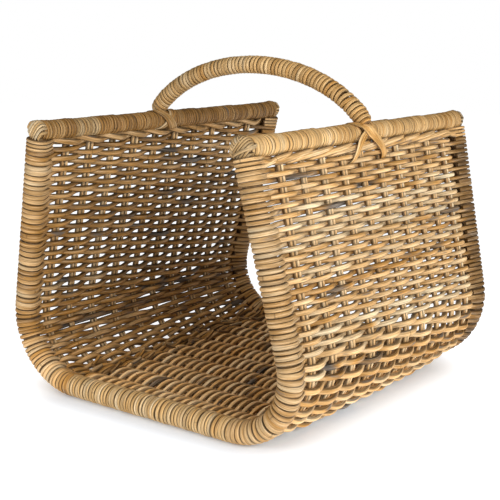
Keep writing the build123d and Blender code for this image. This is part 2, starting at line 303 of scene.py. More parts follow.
# %% Rattan
def rattan(name, stops, gloss, weathering, ringed, dust_and_sheen):
    """Peeled rattan: (place, hex) stops, how dull, how greyed, how dark its joints, how much dust and painted
    sheen.
    """
    material, tree, shader = new_material(name)
    grain = add_node(tree, "Attribute", out="Vector", attribute_name="grain")
    tone = add_node(tree, "Attribute", out="Vector", attribute_name="tone")
    along = add_node(tree, "SeparateXYZ", (grain,), out="Z")
    ripe, own_light, edge = add_node(tree, "SeparateXYZ", (tone,)).node.outputs
    fibre = along_grain(tree, grain, FIBRE_WIDTH, FIBRE_LENGTH, 3.0, 0.6)
    patch = along_grain(tree, grain, PATCH_WIDTH, PATCH_LENGTH, 2.0, 0.55)

    colour = cane_colour(tree, stops, ripe, patch)
    light = cane_light(tree, fibre, edge, own_light)
    lit = add_node(tree, "VectorMath", {0: colour, "Scale": light}, operation="SCALE")
    ring = joint_ring(tree, along, ringed)
    skin = aged(tree, lit, fibre, patch, ring, weathering, dust_and_sheen)
    dull = add_node(tree, "MapRange", (fibre, 0.0, 1.0, gloss - 0.12, gloss + 0.16))
    relief = add_node(tree, "Bump", {"Height": fibre, "Strength": 0.35, "Distance": 0.3 * MM})
    fill(shader, {"Base Color": skin, "Roughness": dull, "Normal": relief})
    fill(shader, {"IOR": 1.45, "Specular IOR Level": 0.35})
    return material


# Woven cane keeps its round skin: straw and honey, satin, with weathered patches
WEAVER = rattan(
    "peeled rattan weaver",
    [(0.0, "#DCC49C"), (0.35, "#D0A66E"), (0.62, "#B3803A"), (0.85, "#87663E"), (1.0, "#5C5248")],
    gloss=0.52, weathering=0.03, ringed=0.45, dust_and_sheen=0.38,
)
# Stakes are older and stiffer cane: paler, drier, with few weathered patches
STAKE = rattan(
    "peeled rattan stake",
    [(0.0, "#DCC298"), (0.4, "#BE9660"), (0.7, "#936B3E"), (1.0, "#5F4A34")],
    gloss=0.5, weathering=-0.02, ringed=0.4, dust_and_sheen=0.3,
)
# Binding cane is split and wound tight: golden, with the shine of the outer skin
BINDING = rattan(
    "split rattan binding",
    [(0.0, "#E4CDA6"), (0.35, "#D2AA70"), (0.65, "#B5823D"), (0.88, "#8A683E"), (1.0, "#6A5848")],
    gloss=0.48, weathering=-0.01, ringed=0.3, dust_and_sheen=0.18,
)
print("rattan finishes:", [m.name for m in (WEAVER, STAKE, BINDING)])

# %% [markdown]
# ## One rod, laid anywhere
# Every cane starts as the same thing: a straight rod from create_cone, cut into short lengths by
# subdivide_edges. Rods of the same size are made once and copied.

# %% Rods
RODS = {}


def straight_rod(rings, sides):
    """A rod of unit radius and unit length along Z, with that many rings of vertices."""
    if (rings, sides) not in RODS:
        rod = bmesh.new()
        bmesh.ops.create_cone(rod, cap_ends=True, segments=sides, radius1=1.0, radius2=1.0, depth=1.0)
        lengthwise = [e for e in rod.edges if abs(e.verts[0].co.z - e.verts[1].co.z) > 0.5]
        bmesh.ops.subdivide_edges(rod, edges=lengthwise, cuts=rings - 2)
        RODS[rings, sides] = bpy.data.meshes.new("rod")
        rod.to_mesh(RODS[rings, sides])
        rod.free()
    return RODS[rings, sides]


print("faces on a rod of 6 rings:", len(straight_rod(6, 8).polygons))

# %% [markdown]
# Laying a cane means carrying each ring of the rod to a point of a route, turned square to it. A curve with
# a bevel could do this too, but a mesh lets a cane flatten where it turns round a pole, and lets every ring
# keep its grain and tone. Split cane has a flatter face, so the section can be squared off.

# %% Laying a cane
GRAIN_STARTS = 4000
dice = np.random.default_rng(20)


def lay(pile, route, across, half_width, half_depth, tone, sides=8, crisp=1.0, square=0.0):
    """Lay one cane on a route in mm, its width across it.

    tone is its ripeness and light, crisp how thin its painted dark edges are, square how flat its face is.
    """
    route = np.asarray(route, float)
    rings = len(route)
    along = np.gradient(route, axis=0)
    along /= np.linalg.norm(along, axis=1, keepdims=True)
    across = np.broadcast_to(np.asarray(across, float), route.shape)
    across = across - along * np.sum(across * along, axis=1, keepdims=True)
    across /= np.linalg.norm(across, axis=1, keepdims=True)
    through = np.cross(along, across)
    steps = np.linalg.norm(np.diff(route, axis=0), axis=1)
    length = np.concatenate(([0.0], np.cumsum(steps))) + dice.uniform(0, GRAIN_STARTS)

    cane = straight_rod(rings, sides).copy()
    rod = np.empty(len(cane.vertices) * 3, np.float32)
    cane.vertices.foreach_get("co", rod)
    rod = rod.reshape(-1, 3)
    ring = np.rint((rod[:, 2] + 0.5) * (rings - 1)).astype(int)

    def at_ring(value):
        return np.broadcast_to(value, rings)[ring]

    wide = rod[:, 0] * at_ring(half_width)
    deep = np.sign(rod[:, 1]) * np.abs(rod[:, 1]) ** (1 - at_ring(square)) * at_ring(half_depth)
    placed = route[ring] + across[ring] * wide[:, None] + through[ring] * deep[:, None]
    cane.vertices.foreach_set("co", (placed * MM).astype(np.float32).ravel())
    shade = np.broadcast_to(np.asarray(tone, np.float32), (rings, 2))[ring]
    # How near each place is to the cane's edge: the material paints shade there, as in a groove
    edge = np.minimum(np.abs(rod[:, 0]), 1.0) ** at_ring(crisp)
    for name, columns in (("grain", (wide, deep, length[ring])), ("tone", (shade, edge))):
        values = np.column_stack(columns).astype(np.float32).ravel()
        cane.attributes.new(name, "FLOAT_VECTOR", "POINT").data.foreach_set("vector", values)
    pile.from_mesh(cane)
    bpy.data.meshes.remove(cane)


print("grain starts anywhere within", GRAIN_STARTS, "mm")

# %% [markdown]
# Canes that belong together are piled into one mesh, a piece that rides on the basket and stands for the
# solids it covers. Each cane gets its own shade by lot.

# %% Finishing a piece
SHARP_DEGREES = 55
RIPEST = 0.95
LIGHT_VARY = (0.88, 1.1)


def finish_piece(pile, name, material, slot, *nodes):
    """Turn a pile of canes into one piece that stands for CAD nodes."""
    mesh = bpy.data.meshes.new(name)
    pile.to_mesh(mesh)
    pile.free()
    mesh.shade_smooth()
    mesh.set_sharp_from_angle(angle=math.radians(SHARP_DEGREES))
    mesh.materials.append(material)
    piece = bpy.data.objects.new(name, mesh)
    bpy.context.scene.collection.objects.link(piece)
    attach(piece, "root")
    if nodes:
        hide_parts(*nodes)
    print(name, "faces:", len(mesh.polygons))


def cane_tone(ripe, spread, light=1.0):
    """A cane's shade: place on the colour ramp and brightness."""
    return float(np.clip(dice.normal(ripe, spread), 0.0, RIPEST)), light * dice.uniform(*LIGHT_VARY)


print("edges over", SHARP_DEGREES, "degrees stay sharp")

# %% [markdown]
# ## The cradle
# In the end view the basket is a U: a leg down from each rail, a round corner, and the floor. All the weaving
# lies on that line. The sizes are the source's own, repeated here in millimetres.

# %% The cradle's line
RAIL_SPREAD = 274.0
RAIL_HEIGHT = 295.0
FOOT_SPREAD = 398.0
CORNER_RADIUS = 70.0
HOOP_RADIUS = 14.0
HOOP_AXIS_HEIGHT = HOOP_RADIUS * math.cos(math.pi / 8)

leg_run = (FOOT_SPREAD - RAIL_SPREAD) / 2
leg_rise = RAIL_HEIGHT - HOOP_AXIS_HEIGHT
leg_tilt = math.atan2(leg_run, leg_rise)
corner_turn = math.pi / 2 + leg_tilt
corner_tangent = CORNER_RADIUS * math.tan(corner_turn / 2)
LEG_END = math.hypot(leg_run, leg_rise) - corner_tangent
CORNER_END = LEG_END + CORNER_RADIUS * corner_turn
FLOOR_HALF = FOOT_SPREAD / 2 - corner_tangent


def cradle(run, side):
    """Points of the cradle's middle line, run mm from a rail's axis, and the outward direction there."""
    run = np.asarray(run, float)
    leg = run < LEG_END
    corner = ~leg & (run < CORNER_END)
    bend = leg_tilt - (run - LEG_END) / CORNER_RADIUS
    angle = np.where(leg, leg_tilt, np.where(corner, bend, -math.pi / 2))
    corner_x = FLOOR_HALF + CORNER_RADIUS * np.cos(angle)
    corner_z = HOOP_AXIS_HEIGHT + CORNER_RADIUS * (1 + np.sin(angle))
    x = np.where(corner, corner_x, FLOOR_HALF - (run - CORNER_END))
    x = np.where(leg, RAIL_SPREAD / 2 + run * math.sin(leg_tilt), x)
    z = np.where(corner, corner_z, HOOP_AXIS_HEIGHT)
    z = np.where(leg, RAIL_HEIGHT - run * math.cos(leg_tilt), z)
    zero = np.zeros_like(x)
    return (
        np.stack((side * x, zero, z), axis=-1),
        np.stack((side * np.cos(angle), zero, np.sin(angle)), axis=-1),
    )


print("leg, corner and floor in mm:", round(LEG_END), round(CORNER_END - LEG_END), round(2 * FLOOR_HALF))

# %% [markdown]
# The end hoops lean outwards a little. Between them the weave hangs past the cradle's line low in the
# corners, as in old baskets: a few depths round the corner, fading to nothing at the hoops.

# %% Hoops, sag and stake places
HOOP_TOP_Y = 209.0
HOOP_LEAN = math.radians(3.5)
SAG_END = 185.0
SAG_SHARES = (-0.25, 0.0, 0.3, 0.55, 0.72, 0.8, 0.86, 0.92, 1.0, 1.1)
SAG_DEPTHS = (0, 0.4, 3.0, 6.2, 7.2, 6.0, 3.3, 1.4, 0, -1.0)
STAKE_PAIRS = 10


def hoop_y(height):
    """How far from the middle an end hoop's axis is at a height."""
    return HOOP_TOP_Y - (RAIL_HEIGHT - height) * math.tan(HOOP_LEAN)


def sag(run, y):
    """How far the weave hangs out past the cradle's line."""
    share = (np.asarray(run) - LEG_END) / (CORNER_END - LEG_END)
    slack = np.clip(1 - (np.abs(y) / SAG_END) ** 4, 0, 1)
    return slack * np.interp(share, SAG_SHARES, SAG_DEPTHS)


stake_low, stake_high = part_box("stake_pair_1"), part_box("stake_pair_10")
first_stake = (stake_low[0].y + stake_low[1].y) / 2 / MM
last_stake = (stake_high[0].y + stake_high[1].y) / 2 / MM
STAKE_PITCH = (last_stake - first_stake) / (STAKE_PAIRS - 1)
print("stake pairs every", round(STAKE_PITCH, 1), "mm")

# %% [markdown]
# ## Stakes
# Pairs of thin cane run all the way round the cradle, from rail to rail. They are the warp that everything is
# woven on. Each one is a single rod, so the bend at the corners comes from the route alone.

# %% Stakes
STAKE_RADIUS = 2.4
STAKE_TOP = 13.0
STAKE_BESIDE, STAKE_STRAY, STAKE_WAVE = 2.6, 0.25, 0.5
WEAVE_OUT = 2.5
half_way = CORNER_END + FLOOR_HALF
down = np.concatenate(
    (
        np.linspace(STAKE_TOP, LEG_END, 22, endpoint=False),
        np.linspace(LEG_END, CORNER_END, 18, endpoint=False),
        np.linspace(CORNER_END, half_way, 10),
    )
)
for number in range(1, STAKE_PAIRS + 1):
    pair = bmesh.new()
    middle = first_stake + (number - 1) * STAKE_PITCH
    for beside in (-1, 1):
        y = middle + beside * STAKE_BESIDE + dice.normal(0, STAKE_STRAY)
        out = (WEAVE_OUT + sag(down, y))[:, None]
        halves = [points + outward * out for points, outward in (cradle(down, 1), cradle(down, -1))]
        route = np.concatenate((halves[0], halves[1][-2::-1]))
        route[:, 1] = y + STAKE_WAVE * np.sin(np.linspace(0, 9, len(route)) + dice.uniform(0, 6))
        # The stakes get extra light, a painted light that lifts them out of the shade between the weavers
        lay(pair, route, (0, 1, 0), STAKE_RADIUS, STAKE_RADIUS, cane_tone(0.3, 0.12, 1.25))
    finish_piece(pair, f"stake_canes_{number}", STAKE, "stake_cane", f"stake_pair_{number}")

# %% [markdown]
# ## Weavers
# Each weaver passes outside one stake pair and inside the next, and its neighbours do the opposite. A
# picture of weave on a sheet would be quicker, but the light between the canes is what the eye sees first,
# so every weaver is a rod of its own. A slow random wave lets it wander.

# %% Weavers on the wall
REACH = STAKE_RADIUS + 3.0
PER_STAKE = 9
WAVE_KNOTS = 7


def wavy(count, size):
    """A slow random wave over count stations."""
    knots = dice.normal(0, size, WAVE_KNOTS)
    return np.interp(np.linspace(0, WAVE_KNOTS - 1, count), np.arange(WAVE_KNOTS), knots)


def on_wall(runs, side, path):
    """Points for a path of (along Y, outward offset) at runs down the cradle, and the way down there."""
    points, outward = cradle(runs, side)
    route = points + outward * (path[:, 1] + sag(runs, path[:, 0]))[:, None]
    route[:, 1] = path[:, 0]
    return route, np.stack((outward[:, 2], np.zeros(len(path)), -outward[:, 0]), axis=-1)


print("weavers swing", REACH, "mm to each side of the stakes")

# %% [markdown]
# At the hoop a weaver keeps alternating: it comes to one side of the pole, turns round it as a flattened
# band, and ends tucked in on the other side. So long and short bands take turns down the legs. The route is
# a smooth lead, an arc and a short tail.

# %% Round the hoop
BAND_AXIS_RADIUS = 10.5
ARC_START, ARC_ENDS = 62.0, (276, 288)
LEAD_PULL = 0.9
TAIL_STEPS = (5.0, 10.0, 15.0)
TAIL_CURL = 0.014


def hook(last_y, last_n, hoop, ring=BAND_AXIS_RADIUS, same=False):
    """From the last stake to the hoop and round it: (from the middle, outward) points, and how flat."""
    side = 1.0 if (last_n > 0) == same else -1.0
    angles = np.radians(np.linspace(ARC_START, dice.uniform(*ARC_ENDS), 15))
    arc = np.column_stack((hoop - ring * np.cos(angles), side * ring * np.sin(angles)))
    first = np.array((last_y, last_n))
    span = np.linalg.norm(arc[0] - first)
    begin = np.array((span, 0.0)) * LEAD_PULL
    finish = np.array((math.sin(angles[0]), side * math.cos(angles[0]))) * span * LEAD_PULL
    t = np.linspace(0, 1, 8)[1:-1, None]
    lead = (
        (2 * t**3 - 3 * t**2 + 1) * first
        + (t**3 - 2 * t**2 + t) * begin
        + (-2 * t**3 + 3 * t**2) * arc[0]
        + (t**3 - t**2) * finish
    )
    leave = np.array((math.sin(angles[-1]), side * math.cos(angles[-1])))
    tail = np.array(TAIL_STEPS)[:, None] * dice.uniform(0.85, 1.05)
    end = arc[-1] + leave * tail + (0, side * TAIL_CURL) * tail**2
    flat = np.concatenate((np.linspace(0.1, 0.9, len(lead)), np.ones(len(arc)), [1.0, 1.0, 0.9]))
    return np.vstack((lead, arc, end)), flat


def with_ends(stations, offset, front, rear):
    """A row from its front end to its rear end: its path, and how much of a band it is there."""
    path = np.vstack((front[0][::-1] * (-1, 1), np.column_stack((stations, offset)), rear[0]))
    return path, np.concatenate((front[1][::-1], np.zeros(len(stations)), rear[1]))


print("bands turn round the hoops at", BAND_AXIS_RADIUS, "mm")

# %% [markdown]
# No two canes are alike. Each shade drifts along its cane, and some have a grey stretch. All are darker
# where they dive between stakes, a painted shade, and the bands on the legs and the rows in the corners get
# painted light and shade too. The bands on a leg come from a few long canes, so they are more even and
# change slowly down the leg. In the tables, 1 is the right wall and -1 the left, and a pair holds the
# values of the front end and the rear end.

# %% Shades of a weaver
GREY_SHARE, GREY_STEP, GREY_LENGTHS = 0.3, 0.6, (4, 12)
# Painted shade where a cane dives between stakes: the light left where it is deepest
PAINTED_DIVE_LIGHT = 0.74
WALL_RIPE = {1: 0.35, -1: 0.58}
END_RIPE = {1: (0.03, 0.3), -1: (-0.12, 0.0)}
# Painted light and shade on the legs' bands, front end and rear end: the rear of the right wall is darkest,
# as if turned from the light
PAINTED_END_LIGHT = {1: (0.63, 0.35), -1: (0.84, 0.83)}
# Painted light on the corner rows, growing towards the floor, as if thrown up by the white paper
PAINTED_CORNER_LIGHT = {1: 0.42, -1: 0.65}
BAND_EVEN = {1: 0.7, -1: 0.35}
LOT_DRIFT = {1: 0.07, -1: 0.2}
LOT_RUN = 11.0


def weathered(ripe, count):
    """A cane's ripeness along its length: it drifts, and on some canes a stretch has gone grey."""
    ripe = ripe + wavy(count, 0.05)
    if dice.uniform() < GREY_SHARE:
        here = dice.uniform(0, count)
        ripe = ripe + GREY_STEP * np.exp(-(((np.arange(count) - here) / dice.uniform(*GREY_LENGTHS)) ** 4))
    return np.clip(ripe, 0, 1)


def weaver_shades(tone, path, flat, run, side, reach, hooked):
    """The shades along one row: its own on the wall, more even where it is a band on the hoop, with painted
    light and shade.
    """
    at_front = path[:, 0] < 0
    ripe = weathered(tone[0], len(path))
    lot = LOT_DRIFT[side] * math.sin(run / LOT_RUN) * math.cos(run / LOT_RUN * 0.37 + side)
    ripe += flat * (BAND_EVEN[side] * (WALL_RIPE[side] - ripe) + lot)
    ripe += flat * np.where(at_front, *END_RIPE[side])
    painted_dive_mask = np.clip(np.abs(path[:, 1] - WEAVE_OUT) / reach, 0, 1) ** 2
    light = tone[1] * np.where(flat > 0, 1.0, PAINTED_DIVE_LIGHT + (1 - PAINTED_DIVE_LIGHT) * painted_dive_mask)
    light *= 1 + flat * (np.where(at_front, *PAINTED_END_LIGHT[side]) - 1)
    light *= 1 + PAINTED_CORNER_LIGHT[side] * np.clip((run - LEG_END) / (CORNER_END - LEG_END), 0, 1) * hooked
    return np.column_stack((ripe, light))


print("share of canes with a grey stretch:", GREY_SHARE)

# %% [markdown]
# One function now lays a whole row: the swing across the stakes, the two ends, and the change from round cane
# to flat band. Rows of the floor have no band, and end straight at the hoops' bottoms.

# %% One weaver
BAND_HALF_DEPTH = 2.2
BAND_FILL, BAND_VARY = 0.475, (0.86, 1.12)
CRISP = {1: 1.6, -1: 1.1}
BAND_CRISP = {1: 3.0, -1: 3.4}
BAND_SQUARE = {1: 0.2, -1: 0.35}


def weaver(pile, run, side, sign, radius, pitch, tone, loose, reach, floor_end=None):
    """Lay a row at a run down the cradle: its band takes up pitch mm, a floor row ends at floor_end mm."""
    stations = np.linspace(first_stake, last_stake, (STAKE_PAIRS - 1) * PER_STAKE + 1)
    phase = np.cos(np.pi * (stations - first_stake) / STAKE_PITCH)
    offset = WEAVE_OUT + sign * reach * (1.1 * phase - 0.1 * phase**3)
    point, out = cradle(run, side)
    ring = min(BAND_AXIS_RADIUS, point[2] / max(-out[2], 0.1) - BAND_HALF_DEPTH)
    hooked = floor_end is None
    rear, front = (
        hook(last_stake, end, hoop_y(point[2]), ring)
        if hooked
        else (np.array(((last_stake + 8, end * 0.6), (floor_end, -end * 0.4))), np.zeros(2))
        for end in (offset[-1], offset[0])
    )
    path, flat = with_ends(stations, offset, front, rear)
    route, down_hill = on_wall(run + wavy(len(path), loose), side, path)
    crowd = 1.0 + path[:, 1] / CORNER_RADIUS if LEG_END < run < CORNER_END else 1.0
    wide = radius * (1 - flat) + flat * (pitch * BAND_FILL) * crowd * dice.uniform(*BAND_VARY)
    deep = radius * (1 - flat) + flat * BAND_HALF_DEPTH
    shades = weaver_shades(tone, path, flat, run, side, reach, hooked)
    crisp = CRISP[side] * (1 - flat) + BAND_CRISP[side] * flat
    lay(pile, route, down_hill, wide, deep, shades, sides=10, crisp=crisp, square=BAND_SQUARE[side] * flat)


print("a band fills", 2 * BAND_FILL, "of its pitch")

# %% [markdown]
# The rows are laid out by arc length, so over and under alternate without a break from a rail down to the
# floor. The corner canes are thicker and looser than the rest, as on the real basket.

# %% Walls and corners
WEAVE_TOP = 23.0
WALL_PITCH = {1: 5.1, -1: 5.55}
CORNER_PITCH = {1: 5.9, -1: 5.0}
CANE_RADIUS = {1: 2.9, -1: 3.1}
CORNER_CANE_RADIUS = 3.3
RADIUS_VARY = (0.93, 1.07)
WALL_SPREAD = {1: 0.14, -1: 0.13}
# The left wall is seen from inside the basket and gets a lower light: a painted shade
PAINTED_WALL_LIGHT = {1: 1.07, -1: 0.92}
WALL_LOOSE, CORNER_LOOSE = 0.35, 0.9
LEFT_CORNER_REACH = REACH - 0.7
ROW_STRAY = 0.15
SIDES = ((1, "right"), (-1, "left"))
sections = {(word, part): bmesh.new() for _, word in SIDES for part in ("wall", "corner")}
for side, word in SIDES:
    wall_runs = np.arange(WEAVE_TOP, LEG_END, WALL_PITCH[side])
    corner_runs = np.arange(wall_runs[-1] + CORNER_PITCH[side], CORNER_END, CORNER_PITCH[side])
    for index, run in enumerate(np.concatenate((wall_runs, corner_runs))):
        corner = run > wall_runs[-1]
        row = run + dice.normal(0, ROW_STRAY)
        radius = (CORNER_CANE_RADIUS if corner else CANE_RADIUS[side]) * dice.uniform(*RADIUS_VARY)
        tone = cane_tone(WALL_RIPE[side], WALL_SPREAD[side], PAINTED_WALL_LIGHT[side])
        pitch = (CORNER_PITCH if corner else WALL_PITCH)[side]
        loose = CORNER_LOOSE if corner else WALL_LOOSE
        reach = LEFT_CORNER_REACH if corner and side < 0 else REACH
        pile = sections[word, "corner" if corner else "wall"]
        weaver(pile, row, side, 1 if index % 2 else -1, radius, pitch, tone, loose, reach)
    print(word, "rows on wall and corner:", len(wall_runs), len(corner_runs))

# %% [markdown]
# The floor's rows run between the bottoms of the hoops, get thinner and closer from left to right, and end
# tucked into the windings there.

# %% Floor rows, and the woven pieces
FLOOR_PITCH = 5.25
FLOOR_CROWD = 0.88
FLOOR_END = 184.0
FLOOR_RADIUS, FLOOR_THINNING = 2.85, 0.4
FLOOR_STRAY, FLOOR_LOOSE, FLOOR_REACH = 0.2, 0.4, REACH - 0.5
woven_floor = bmesh.new()
floor_shares = np.linspace(0, 1, round(2 * FLOOR_HALF / FLOOR_PITCH)) ** FLOOR_CROWD
for index, share in enumerate(floor_shares):
    row = CORNER_END + 1 + share * (2 * FLOOR_HALF - 2) + dice.normal(0, FLOOR_STRAY)
    radius = (FLOOR_RADIUS - FLOOR_THINNING * share) * dice.uniform(*RADIUS_VARY)
    # Painted light: the floor's canes get twice the walls' light, which lifts the floor inside the basket out
    # of its shade
    tone = cane_tone(0.32, 0.07, 2.1)
    sign = 1 if index % 2 else -1
    weaver(woven_floor, row, -1, sign, radius, FLOOR_PITCH, tone, FLOOR_LOOSE, FLOOR_REACH, FLOOR_END)
for word in ("left", "right"):
    legs = [f"{end}_{word}_leg_binding" for end in ("front", "rear")]
    for part, nodes in (("wall", legs), ("corner", [])):
        name = f"woven_{word}_{part}"
        finish_piece(sections[word, part], name, WEAVER, "weaver_cane", f"{word}_{part}_weave", *nodes)
finish_piece(woven_floor, "woven_floor", WEAVER, "weaver_cane", "floor_weave")

# %% [markdown]
# ## Wales
# Just under each rail three thick canes are twined along the wall and lock the tops of the stakes. Each
# passes outside two stake pairs and inside the third, one pair behind its neighbour, so from outside they
# look like a rope. Their ends turn round the hoops as the first bands under the caps.

# %% Wales
WALE_RADIUS = 3.6
WALE_RUN, WALE_CLIMB, WALE_SETTLE = 14.6, 3.5, 10.8
WALE_PROUD, WALE_DIP, WALE_TUCK = 6.2, 11.5, 0.15
WALE_STRANDS = 3
WALE_BAND = 4.1
WALE_LIGHT = {1: 1.0, -1: 0.78}
for side, word in SIDES:
    rope = bmesh.new()
    for strand in range(WALE_STRANDS):
        stations = np.linspace(first_stake - 5, last_stake + 5, 150)
        twist = ((stations - first_stake) / STAKE_PITCH + strand) / WALE_STRANDS
        behind = (twist + 0.5) % 1.0 - 0.5
        offset = WALE_PROUD - WALE_DIP * np.exp(-((behind / WALE_TUCK) ** 2))
        lift = np.interp(behind, (-0.5, -WALE_TUCK, WALE_TUCK, 0.5), (0, -0.9, 0.9, 0))
        climb = WALE_RUN + WALE_CLIMB * lift + wavy(len(stations), 0.3)
        settle = WALE_SETTLE + strand * WALE_BAND
        hoop = hoop_y(RAIL_HEIGHT - settle)
        rear = hook(stations[-1], offset[-1], hoop, same=offset[-1] > 0)
        front = hook(-stations[0], offset[0], hoop, same=offset[0] > 0)
        path, flat = with_ends(stations, offset, front, rear)
        ease = np.clip(flat * 1.4, 0, 1)
        level = np.pad(climb, (len(front[1]), len(rear[1])), "edge")
        route, down_hill = on_wall(level * (1 - ease) + settle * ease, side, path)
        wide = WALE_RADIUS * (1 - flat) + flat * WALE_BAND * BAND_FILL
        deep = WALE_RADIUS * (1 - flat) + flat * BAND_HALF_DEPTH
        tone = cane_tone(0.4, 0.06, WALE_LIGHT[side])
        lay(rope, route, down_hill, wide, deep, tone, sides=10, square=BAND_SQUARE[side] * flat)
    finish_piece(rope, f"twined_{word}_wale", WEAVER, "weaver_cane", f"{word}_wale")

# %% [markdown]
# ## Windings
# The rails, the handle and the bottoms of the hoops are poles wound with split cane, turn against turn. A
# spin would give a perfect screw, which looks machined. Here the turns' widths, tilts, heights and shades
# wander a little.

# %% One winding
TURN_RINGS, TURN_SIDES = 28, 10
TURN_CRISP = 4.5
TURN_SQUARE = 0.4
LEAN_DRIFT = 0.4


def winding(pile, axis, radius, widths, half_depth, tones, tilt, fill, lumpy):
    """Wind cane round a pole: axis(s) gives points and directions at s mm, radius(s) how far out it lies."""
    turns = len(widths)
    edges = np.concatenate(([0.0], np.cumsum(widths)))
    angle = np.linspace(0, turns, turns * TURN_RINGS + 1)
    starts = np.arange(turns + 1)
    lean = np.interp(angle, starts, dice.normal(0, tilt, turns + 1))
    lean_way = np.interp(angle, starts, np.cumsum(dice.normal(0, LEAN_DRIFT, turns + 1)))
    theta = 2 * np.pi * angle
    s = np.interp(angle, starts, edges) + lean * np.cos(theta - lean_way)
    points, one, two, along = axis(s)
    bulge = np.interp(angle, starts, dice.normal(0, lumpy, turns + 1))
    spoke = one * np.cos(theta)[:, None] + two * np.sin(theta)[:, None]
    route = points + spoke * (radius(s) + bulge)[:, None]
    own = np.interp(angle, np.arange(turns) + 0.5, widths * dice.normal(fill, 0.02, turns))
    shade = np.array(tones)[np.minimum(angle.astype(int), turns - 1)]
    lay(pile, route, along, own, half_depth, shade, sides=TURN_SIDES, crisp=TURN_CRISP, square=TURN_SQUARE)


def turn_widths(length, width, vary):
    """Widths of the turns that fill a length."""
    widths = np.clip(dice.normal(width, vary, round(length / width)), width * 0.7, width * 1.4)
    return widths * length / widths.sum()


def turn_tones(count, ripe, spread, light):
    """A shade for each turn, drifting from the first turn's values to the last's."""
    drift = np.convolve(dice.normal(0, spread, count + 6), np.ones(7) / 7, "valid") * 1.6
    drift += np.linspace(*ripe, count)
    return [cane_tone(place, spread * 0.6, shine) for place, shine in zip(drift, np.linspace(*light, count))]


def straight_axis(start, one, two, along):
    """The axis of a straight pole from a start, for winding."""

    def axis(s):
        points = np.array(start) + np.outer(s, along)
        return points, *(np.broadcast_to(way, points.shape) for way in (one, two, along))

    return axis


print("rings in each turn:", TURN_RINGS)

# %% [markdown]
# The basket stands on the straight bottoms of its two hoops. Their winding is the roughest: wide and narrow
# turns, some of them proud of the rest.

# %% Hoop bottoms
BASE_TURN, BASE_VARY = 4.2, 0.75
BASE_RADIUS = 10.6
BASE_HALF_DEPTH = 2.1
BASE_OVERLAP = 1.5
for y_side, word in ((-1, "front"), (1, "rear")):
    bound = bmesh.new()
    first = (-FLOOR_HALF - BASE_OVERLAP, y_side * hoop_y(HOOP_AXIS_HEIGHT), HOOP_AXIS_HEIGHT)
    axis = straight_axis(first, (0, 0, 1), (0, 1, 0), (1, 0, 0))
    widths = turn_widths(2 * FLOOR_HALF + 2 * BASE_OVERLAP, BASE_TURN, BASE_VARY)
    tones = turn_tones(len(widths), (0.33, 0.33), 0.07, (1.0, 0.9))
    winding(
        bound, axis, lambda s: BASE_RADIUS, widths, BASE_HALF_DEPTH, tones, tilt=0.8, fill=0.44, lumpy=0.32
    )
    finish_piece(bound, f"wound_{word}_base", BINDING, "binding_cane", f"{word}_base_binding")

# %% [markdown]
# A rail takes several lengths of cane. Along each length the winding slowly swells, and it drops where the
# next one starts. Near the rail's ends it flares over the tucked strands of the caps. On the left rail one
# short length is paler than the rest.

# %% Rails
RAIL_TURN, RAIL_VARY = 4.1, 0.55
RAIL_WRAP_END = 212.5
RAIL_HALF_DEPTH = 1.45
FLARE_PLACES = (0.0, 3.5, 6.0, 9.0, 20.0)
FLARE_RADII = (8.0, 8.3, 10.2, 10.0, 9.05)
CANE_STARTS = (0.0, 52.0, 118.0, 191.0, 262.0, 338.0, 425.0)
SPLICE = 2.5
SWELL = 0.45
RAIL_RIPE = {1: (0.33, 0.53), -1: (0.63, 0.63)}
# The left rail's low light is a painted shade; the right rail's light falls from front to rear
RAIL_PAINTED_LIGHT = {1: (0.95, 0.79), -1: (0.64, 0.64)}
PALE_TURNS = (13, 22)


def rail_flare(s):
    """The winding's radius: wider over the caps' tails, and swelling along each length of cane."""
    from_end = np.minimum(s, 2 * RAIL_WRAP_END - s)
    knots = np.ravel([(start, stop - SPLICE) for start, stop in zip(CANE_STARTS, CANE_STARTS[1:])])
    swell = np.interp(s, knots, SWELL * np.tile((-1, 1), len(CANE_STARTS) - 1))
    return np.interp(from_end, FLARE_PLACES, FLARE_RADII) + swell


for side, word in SIDES:
    bound = bmesh.new()
    first = (side * RAIL_SPREAD / 2, -RAIL_WRAP_END, RAIL_HEIGHT)
    axis = straight_axis(first, (0, 0, 1), (1, 0, 0), (0, 1, 0))
    widths = turn_widths(2 * RAIL_WRAP_END, RAIL_TURN, RAIL_VARY)
    tones = turn_tones(len(widths), RAIL_RIPE[side], 0.06, RAIL_PAINTED_LIGHT[side])
    if side < 0:
        for turn in range(*PALE_TURNS):
            tones[turn] = cane_tone(0.36, 0.12, 0.62)
    winding(bound, axis, rail_flare, widths, RAIL_HALF_DEPTH, tones, tilt=0.5, fill=0.485, lumpy=0.12)
    finish_piece(bound, f"wound_{word}_rail", BINDING, "binding_cane", f"{word}_rail_binding")

# %% [markdown]
# The handle is a pole bent to an arc and wound from foot to foot. Its shoulders are a little fuller than the
# arc, so the winding's axis swells there. At the feet the turns are pulled tight and the winding is thinner.

# %% Handle
SEAT_X = 146.73
SEAT_Z = 305.07
HANDLE_TOP = 363.0
HANDLE_Y = -12.0
HANDLE_TURN, HANDLE_VARY = 5.0, 0.3
HANDLE_HALF_DEPTH = 1.7
HANDLE_SHOULDER = 2.6
HANDLE_RADIUS, FOOT_THINNER, FOOT_LENGTH = 8.25, 2.3, 16.0
rise = HANDLE_TOP - SEAT_Z
arc_radius = (SEAT_X**2 + rise**2) / (2 * rise)
arc_half = math.asin(SEAT_X / arc_radius)
arc_centre = HANDLE_TOP - arc_radius
arc_length = 2 * arc_half * arc_radius


